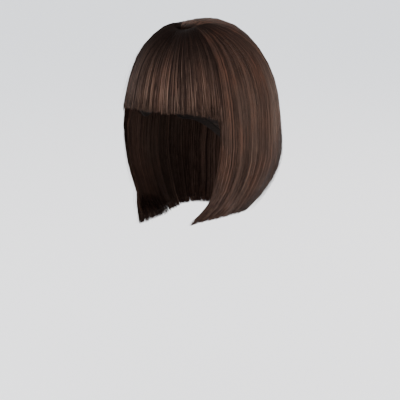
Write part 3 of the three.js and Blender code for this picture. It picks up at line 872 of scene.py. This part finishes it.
# %% Shells of packed hair
SHELL_DEPTH = 1.4 * MM
SHELL_RELIEF = 0.3 * MM
SHELL_ROWS = 42
SHELL_COLUMN = 1.2 * DEGREE
ROWS_SHORT = {"fringe": 0.3, "left_side_hair": 0.6, "back_hair": 0.6, "right_side_hair": 0.6}
DIP_SHARE = 0.7


def parting_dip(rows, angles):
    """How far the hair's face lies below its full height near the parting."""
    space = np.linalg.norm(on_rings(HAIR_RINGS, rows, angles) - on_rings(HEAD_RINGS, rows, angles), axis=-1)
    dip_end = 1.3 - 0.8 * smooth(from_face(angles), 45, 125)
    return DIP_SHARE * space * (1 - smooth(rows, -0.2, dip_end))


def packed_shell(mass):
    """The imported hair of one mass, from the parting to just above its hem."""
    low, high = mass_edges(mass)
    shell = flat_sheet("packed_" + mass, int((high - low) / SHELL_COLUMN), SHELL_ROWS)
    found = {}

    def place(flat, inner):
        angles = low + (flat[:, 0] + 0.5) * (high - low)
        down = 0.5 - flat[:, 1]
        rows = down * (hem_row(mass, angles) - ROWS_SHORT[mass])
        sunk = SHELL_DEPTH - SHELL_RELIEF * lock_waves(rows, angles) * smooth(rows, 0, 3)
        sunk = sunk + parting_dip(rows, angles)
        along = np.where(inner, 1 - 0.48 * down, 0.48 * down)
        found["flow"] = np.stack([angles / (2 * math.pi) + 0.5, along], -1)
        outer = hair_point(mass, rows, angles, 0.0, -sunk)
        nearly_inner = hair_point(mass, rows, angles, 0.97)
        return np.where(inner[:, None], nearly_inner, outer)

    carry(shell, place)
    add_map(shell.data, "OFBake", found["flow"])
    face_out(shell)
    dress(shell, PACKED_HAIR, "hair", mass)


for mass in MASSES:
    packed_shell(mass)

# %% [markdown]
# A strand is a thin tapered ribbon with three sides. Arrays lay thousands of them: each belongs to a clump,
# starts at its own row, follows the form down to the hem, sways with its clump and closes in on it at its
# tip, which parts a hem into small points.

# %% Clumps
# How wide a clump is, how far it closes at its tip, and how unevenly its strands and the clumps end.
CLUMP_COLUMNS = ("width", "closing", "uneven", "clump_uneven")
CLUMP_STYLES = {
    "fringe": (2.0 * MM, 0.75, 3.0 * MM, 1.3 * MM),
    "left_side_hair": (2.8 * MM, 0.6, 2.8 * MM, 1.2 * MM),
    "right_side_hair": (2.8 * MM, 0.6, 2.8 * MM, 1.2 * MM),
    "back_hair": (3.2 * MM, 0.5, 2.2 * MM, 0.7 * MM),
}
HAIR_RADIUS = 105 * MM
STREAK_WIDTH = 1.2 * MM
STREAKS = (2000, 4)
MOST_SWAY = 0.32 * DEGREE
rng = np.random.default_rng(20)


def make_clumps(mass):
    """Where the clumps of a mass lie, and how each of them sways, rises and ends."""
    low, high = mass_edges(mass)
    style = dict(zip(CLUMP_COLUMNS, CLUMP_STYLES[mass]))
    count = int((high - low) * HAIR_RADIUS / style["width"])
    return {
        **style,
        "count": count,
        "spread": (high - low) / count,
        "middle": low + (high - low) * (np.arange(count) + rng.uniform(0.3, 0.7, count)) / count,
        "sway": rng.uniform(-1, 1, count) * MOST_SWAY,
        "phase": rng.uniform(0, 2 * math.pi, count),
        "rise": rng.normal(0, 0.28, count) * MM,
        "tone": rng.normal(0, 0.06, count),
        "reach": rng.normal(0, 1, count) * style["clump_uneven"],
        "streak_tone": rng.normal(0, 0.15, STREAKS),
        "streak_rise": rng.normal(0, 0.2, STREAKS) * MM,
    }


CLUMPS = {mass: make_clumps(mass) for mass in MASSES}
print("clumps:", {mass: clumps["count"] for mass, clumps in CLUMPS.items()})

# %% [markdown]
# Near the parting there is room for few strands, so the share that starts above a row follows the width of
# the hair there. Tips fill the hem through the thickness of the hair, and edge strands finish the free front
# edge of a side.

# %% Where strands start and end
EARLY_SHARE = 0.22
MOST_UNDER = 1.8 * MM


def start_rows(mass, kind, angle, end):
    """The row where each strand comes out from under the others."""
    count = len(angle)
    if kind == "outer":
        low, high = mass_edges(mass)
        rows = np.linspace(0, 7, 71)
        ring = on_rings(HAIR_RINGS, rows[:, None], np.linspace(low, high, 40)[None, :])
        widths = np.linalg.norm(np.diff(ring, axis=1), axis=-1).sum(1)
        share = np.maximum.accumulate(widths / widths.max())
        start = np.interp(rng.uniform(0.03, 1, count), share, rows) * rng.uniform(0.7, 1, count)
        return np.where(rng.uniform(0, 1, count) < EARLY_SHARE, rng.uniform(0, 0.3, count), start)
    if kind == "inner":
        below_rim = np.maximum(row_at_height(angle, rim_height(angle)) - 0.4, 5.5)
        return np.minimum(below_rim, end - 0.9)
    if kind == "edge":
        return rng.uniform(6.6, 8.5, count)
    if kind == "stray":
        return rng.uniform(1.5, 9.5, count) * end / TIP_ROW
    if kind == "wisp":
        return end - rng.uniform(1.5, 3.5, count) * (0.7 if mass == "fringe" else 1)
    return end - rng.uniform(0.8, 1.5, count) * (0.5 if mass == "fringe" else 1)


def start_angles(mass, kind, count):
    """The clump of each strand and the angle where it starts."""
    low, high = mass_edges(mass)
    clumps = CLUMPS[mass]
    clump = rng.integers(0, clumps["count"], count)
    angle = clumps["middle"][clump] + clumps["spread"] * rng.uniform(-0.8, 0.8, count)
    if kind == "edge" or kind == "wisp" and mass != "fringe":
        edge = min(low, high, key=abs)
        clump = np.full(count, np.argmin(np.abs(clumps["middle"] - edge)))
        inward = np.sign(low + high - 2 * edge) * DEGREE
        reach = 1.4 if kind == "edge" else 9
        angle = edge + inward * rng.uniform(-0.5, reach, count)
    return clump, np.clip(angle, low - 0.5 * DEGREE, high + 0.5 * DEGREE)


def depths(kind, count):
    """How deep a strand lies, from 0 at the outer face to 1 at the inner one, and how far under that."""
    if kind == "outer":
        return np.zeros(count), rng.uniform(-0.3, 1, count) ** 3 * MOST_UNDER
    if kind == "inner":
        return np.ones(count), -np.abs(rng.normal(0, 0.3, count)) * MM
    if kind == "stray":
        return np.zeros(count), -np.abs(rng.normal(0.3, 0.2, count)) * MM
    return rng.uniform(0.04, 0.96, count), np.zeros(count)


edge_starts = start_rows("left_side_hair", "edge", np.zeros(9), TIP_ROW)
print("some strands of a side's free edge start at rows", edge_starts.round(1))

# %% [markdown]
# Neighbouring strands bend at the same rows, closer together where the hair bends more. If each bent at rows
# of its own, it would dip under its neighbours and come up again, which looks like frizz.

# %% The path of every strand
EMERGE_DEPTH = 2.6 * MM
EMERGE_ROWS = 2.2
STRAY_LIFT = 8 * MM
MOST_SHORT = 0.42
LAST_PIECE = 0.5
LOOSE_SHARE = 0.07
MIDDLE_TONE = 0.47


def unit(vectors):
    """The same vectors, one unit long."""
    return vectors / np.maximum(np.linalg.norm(vectors, axis=-1, keepdims=True), 1e-12)


def bend_shares(mass, count):
    """Shares of the way down a mass, closer together where the hair bends."""
    middle = sum(MASSES[mass]) / 2 * DEGREE
    fine = np.linspace(0, 1, 300)
    rows = fine * (float(hem_row(mass, np.array(middle))) - LAST_PIECE)
    moves = np.diff(on_rings(HAIR_RINGS, rows, np.full_like(rows, middle)), axis=0)
    turns = np.linalg.norm(np.diff(unit(moves), axis=0), axis=-1)
    steps = np.sqrt(turns * np.linalg.norm(moves, axis=-1)[1:])
    measure = np.append(0, np.cumsum(steps + 0.5 * steps.mean()))
    return np.interp(np.linspace(0, measure[-1], count), measure, np.linspace(0, 1, len(measure)))


def end_rows(mass, kind, clump, angle, hem):
    """The row where each strand ends, a little above or below the hem."""
    clumps = CLUMPS[mass]
    one_row = np.linalg.norm(hair_point(mass, hem, angle, 0) - hair_point(mass, hem - 1, angle, 0), axis=-1)
    fall_short = (rng.gamma(2, 0.5, len(angle)) - 0.9) * clumps["uneven"] - clumps["reach"][clump]
    if kind == "wisp":
        fall_short = -rng.uniform(-2, 4, len(angle)) * MM
    return hem - np.minimum(fall_short / one_row, MOST_SHORT)


def point_rows(mass, kind, start, end, hem, points):
    """The row of every point of the strands, and its share of the way down its strand."""
    place = np.linspace(0, 1, points)[None, :]
    rows = start[:, None] + (end - start)[:, None] * place
    if kind == "outer":
        knots = (hem - LAST_PIECE)[:, None] * bend_shares(mass, points - 1)
        rows = np.maximum(np.append(knots, end[:, None], axis=1), start[:, None])
        place = (rows - start[:, None]) / (end - start)[:, None]
    return rows, place


def point_angles(mass, clump, angle, rows, hem):
    """The angle of every point: a strand sways with its clump and by itself, and closes in at its tip."""
    clumps = CLUMPS[mass]
    count = len(angle)
    flow = smooth(rows, 0.5, 5)
    low, high = mass_edges(mass)
    from_edge = smooth(np.minimum(angle - low, high - angle), 0, 3 * DEGREE)[:, None]
    closing = clumps["closing"] * from_edge * smooth(rows, (hem - 2.6)[:, None], (hem + 0.3)[:, None])
    clump_turn = 0.5 * rows + clumps["phase"][clump][:, None]
    own_size = np.where(rng.uniform(0, 1, count) < LOOSE_SHARE, 1.1, 0.22) * DEGREE
    own_turn = rng.uniform(0.4, 1.2, count)[:, None] * rows + rng.uniform(0, 2 * math.pi, count)[:, None]
    angles = angle[:, None] + (clumps["middle"][clump] - angle)[:, None] * closing
    angles = angles + clumps["sway"][clump][:, None] * np.sin(clump_turn) * flow
    angles = angles + own_size[:, None] * np.sin(own_turn) * flow * (1 - 0.6 * closing)
    return angles + 0.7 * DEGREE * np.sin(7 * angle[:, None] + 0.45 * rows) * flow


def point_lifts(kind, rows, angles, start, under, own_rise):
    """How far every point stands off the form: it follows the locks and its clump, and comes up from below."""
    away_from_crown = 0.35 + 0.65 * smooth(rows, 1, 5)
    relief = SHELL_RELIEF * lock_waves(rows, angles) * smooth(rows, 0, 3)
    relief = relief + own_rise[:, None] * away_from_crown
    if kind not in ("outer", "stray"):
        return 0.3 * relief - under[:, None]
    still_under = 1 - smooth(rows - start[:, None], 0, EMERGE_ROWS)
    emerging = EMERGE_DEPTH * smooth(start, 0.1, 1)[:, None] * still_under
    return relief * smooth(rows, 0, 1) - under[:, None] - emerging - parting_dip(rows, angles)


def lay_strands(mass, count, kind, points):
    """Rows, angles, depths, lifts, facts for the colour and places along the strands of one kind."""
    clumps = CLUMPS[mass]
    clump, angle = start_angles(mass, kind, count)
    hem = hem_row(mass, angle)
    end = end_rows(mass, kind, clump, angle, hem)
    start = start_rows(mass, kind, angle, end)
    depth, under = depths(kind, count)
    across = np.floor((angle + 4) * HAIR_RADIUS / STREAK_WIDTH).astype(int)
    streak = (across, rng.integers(0, STREAKS[1], count))
    rows, place = point_rows(mass, kind, start, end, hem, points)
    angles = point_angles(mass, clump, angle, rows, hem)
    own_rise = clumps["rise"][clump] - clumps["streak_rise"][streak]
    lift = point_lifts(kind, rows, angles, start, under, own_rise)
    if kind == "wisp":
        ahead = np.sign(from_face(angle + 0.1) - from_face(angle))[:, None]
        angles = angles - ahead * rng.uniform(0, 4.5, count)[:, None] * DEGREE * place**2
    if kind == "stray":
        away = rng.uniform(0.2, 1, count)[:, None] ** 2
        lift = lift + STRAY_LIFT * away * smooth(place, 0.2, 1)
        angles = angles + rng.normal(0, 2.2, count)[:, None] * DEGREE * place**2
    tone = MIDDLE_TONE + clumps["tone"][clump] + clumps["streak_tone"][streak] + rng.normal(0, 0.19, count)
    tone = np.clip(tone, 0, 1)
    # How far under the others a strand lies, which the material turns into painted shade; strands of the other
    # kinds get half of it.
    painted_shade_depth = np.clip(under / MOST_UNDER, 0, 1) if kind in ("outer", "stray") else np.full(count, 0.5)
    facts = np.stack(np.broadcast_arrays(tone[:, None], rows / hem[:, None], painted_shade_depth[:, None]), -1)
    return rows, angles, depth[:, None], lift, facts, place


# %% The mesh of the strands
UV_BANDS = 8
RIDGE_SHARE = 0.6
SHARP_TURN = 30 * DEGREE


def strand_map(count, points):
    """Gives every strand its own narrow field of the map, in bands one above another."""
    per_band = math.ceil(count / UV_BANDS)
    column = (np.arange(count) % per_band)[:, None, None] + np.array([0.2, 0.5, 0.8])
    band = (np.arange(count) // per_band)[:, None, None]
    down = 0.03 + 0.94 * np.linspace(0, 1, points)[None, :, None]
    u, v = np.broadcast_arrays(column / per_band, (band + down) / UV_BANDS)
    return np.stack([u, v], -1).reshape(-1, 2)


def ribbon_mesh(name, middles, outward, width, facts):
    """One mesh of closed three-sided ribbons along rows of middle points. Repeated points are left out."""
    count, points = middles.shape[:2]
    moves = np.linalg.norm(np.diff(middles, axis=1), axis=-1) > 1e-6
    kept = np.append(moves, np.ones((count, 1), bool), axis=1)
    step = unit(np.gradient(middles, axis=1))
    across = unit(np.cross(step, outward)) * width[..., None]
    ridge = np.cross(across, step) * RIDGE_SHARE
    sides = np.stack([middles - across, middles + across, middles + ridge], 2)[kept]
    ids = 3 * (np.cumsum(kept).reshape(count, points, 1) - 1) + np.arange(3)
    turned = np.roll(ids, -1, axis=2)
    quads = np.stack([ids[:, :-1], ids[:, 1:], turned[:, 1:], turned[:, :-1]], -1)[moves].reshape(-1, 4)
    first = ids[np.arange(count), kept.argmax(axis=1)]
    ends = np.concatenate([first, ids[:, -1, ::-1]])
    sizes = np.concatenate([np.full(len(quads), 4), np.full(len(ends), 3)])
    mesh = bpy.data.meshes.new(name)
    mesh.vertices.add(sides.size // 3)
    mesh.vertices.foreach_set("co", sides.reshape(-1))
    mesh.loops.add(int(sizes.sum()))
    mesh.loops.foreach_set("vertex_index", np.concatenate([quads.reshape(-1), ends.reshape(-1)]))
    mesh.polygons.add(len(sizes))
    mesh.polygons.foreach_set("loop_start", np.concatenate([[0], np.cumsum(sizes)[:-1]]))
    mesh.update(calc_edges=True)
    mesh.set_sharp_from_angle(angle=SHARP_TURN)
    stored = mesh.attributes.new("strand", "FLOAT_VECTOR", "POINT")
    stored.data.foreach_set("vector", np.repeat(facts[kept], 3, axis=0).reshape(-1))
    add_map(mesh, "OFBake", strand_map(count, points)[np.repeat(kept.reshape(-1), 3)])
    return mesh


def comb(name, mass, count, kind, material, points, half_width):
    """Lays the strands of one kind in one mass, and dresses them."""
    rows, angles, depth, lift, facts, place = lay_strands(mass, count, kind, points)
    middles = hair_point(mass, rows, angles, depth, lift)
    outward = hair_point(mass, rows, angles, depth, lift + MM) - middles
    if kind == "inner":
        outward = -outward
    taper = (0.35 + 0.65 * smooth(place, 0, 0.15)) * (1 - 0.88 * smooth(place, 0.72, 1))
    width = np.broadcast_to(half_width * rng.uniform(0.65, 1.2, count)[:, None] * taper, rows.shape)
    strands = bpy.data.objects.new(name, ribbon_mesh(name, middles, outward, width, facts))
    bpy.context.scene.collection.objects.link(strands)
    dress(strands, material, "hair", mass, smooth_all=False)


# %% [markdown]
# Each row of the table is one piece: how many strands, their kind and material, the points along each, and
# half its width in mm. Its name begins with its mass. Wisps hang loose in front, and strays stand off.

# %% Comb the four masses
STRANDS = {
    "fringe_strands": (2600, "outer", FRINGE_HAIR, 13, 0.45),
    "fringe_tips": (1100, "tips", FRINGE_HAIR, 6, 0.3),
    "left_strands": (1700, "outer", SIDE_HAIR, 18, 0.45),
    "right_strands": (1500, "outer", SIDE_HAIR, 18, 0.45),
    "back_strands": (2100, "outer", BACK_HAIR, 18, 0.45),
    "left_inner": (380, "inner", UNDER_HAIR, 10, 0.45),
    "right_inner": (380, "inner", UNDER_HAIR, 10, 0.45),
    "back_inner": (460, "inner", UNDER_HAIR, 8, 0.45),
    "left_edge": (240, "edge", SIDE_HAIR, 10, 0.45),
    "right_edge": (240, "edge", SIDE_HAIR, 10, 0.45),
    "left_tips": (900, "tips", SIDE_HAIR, 6, 0.35),
    "right_tips": (900, "tips", SIDE_HAIR, 6, 0.35),
    "back_tips": (1000, "tips", UNDER_HAIR, 6, 0.35),
    "fringe_wisps": (260, "wisp", FRINGE_HAIR, 7, 0.2),
    "left_wisps": (60, "wisp", SIDE_HAIR, 8, 0.2),
    "right_wisps": (60, "wisp", SIDE_HAIR, 8, 0.2),
    "fringe_strays": (70, "stray", FRINGE_HAIR, 9, 0.17),
    "left_strays": (110, "stray", SIDE_HAIR, 10, 0.17),
    "right_strays": (110, "stray", SIDE_HAIR, 10, 0.17),
    "back_strays": (140, "stray", BACK_HAIR, 10, 0.17),
}
for name, (count, kind, material, points, half_width) in STRANDS.items():
    mass = next(mass for mass in MASSES if mass.startswith(name.split("_")[0]))
    comb(name, mass, count, kind, material, points, half_width * MM)

# %% [markdown]
# The wig floats over a plain pale floor in soft light, as high as on a wearer.

# %% Floor, light and air
FLOOR_DROP = 0.42
PALE_GREY = (0.9, 0.91, 0.93, 1)

bpy.ops.mesh.primitive_circle_add(vertices=96, radius=9, fill_type="NGON", location=(0, 0, -FLOOR_DROP))
floor = bpy.context.object
floor.name = "floor"
floor_recipe = Recipe("pale_floor")
floor.data.materials.append(floor_recipe.finish(PALE_GREY, 0.85))

world = bpy.data.worlds.new("soft_air")
world.use_nodes = True
air = world.node_tree.nodes["Background"].inputs
air["Color"].default_value = (0.84, 0.86, 0.89, 1)
air["Strength"].default_value = 2.15
bpy.context.scene.world = world


def soft_light(name, place, size, power, color=(1, 1, 1)):
    """A square soft light that looks at the middle of the wig."""
    data = bpy.data.lights.new(name, "AREA")
    data.size = size
    data.energy = power
    data.color = color
    light = bpy.data.objects.new(name, data)
    light.visible_camera = False
    light.location = place
    light.rotation_euler = (Vector((0, 0.01, -0.03)) - Vector(place)).to_track_quat("-Z", "Y").to_euler()
    bpy.context.scene.collection.objects.link(light)


soft_light("front_light", (-0.3, -2.3, 0.0), 0.9, 76, (1, 0.98, 0.96))
soft_light("side_light", (2.3, -0.6, -0.3), 1.1, 120, (1, 0.96, 0.93))
soft_light("rim_light", (1.5, 1.9, -0.2), 0.9, 62, (1, 0.8, 0.66))
soft_light("top_light", (-0.3, 1.9, 2.2), 1.0, 26, (1, 0.82, 0.7))
soft_light("fill_light", (-2.0, -1.2, 0.4), 1.0, 22)
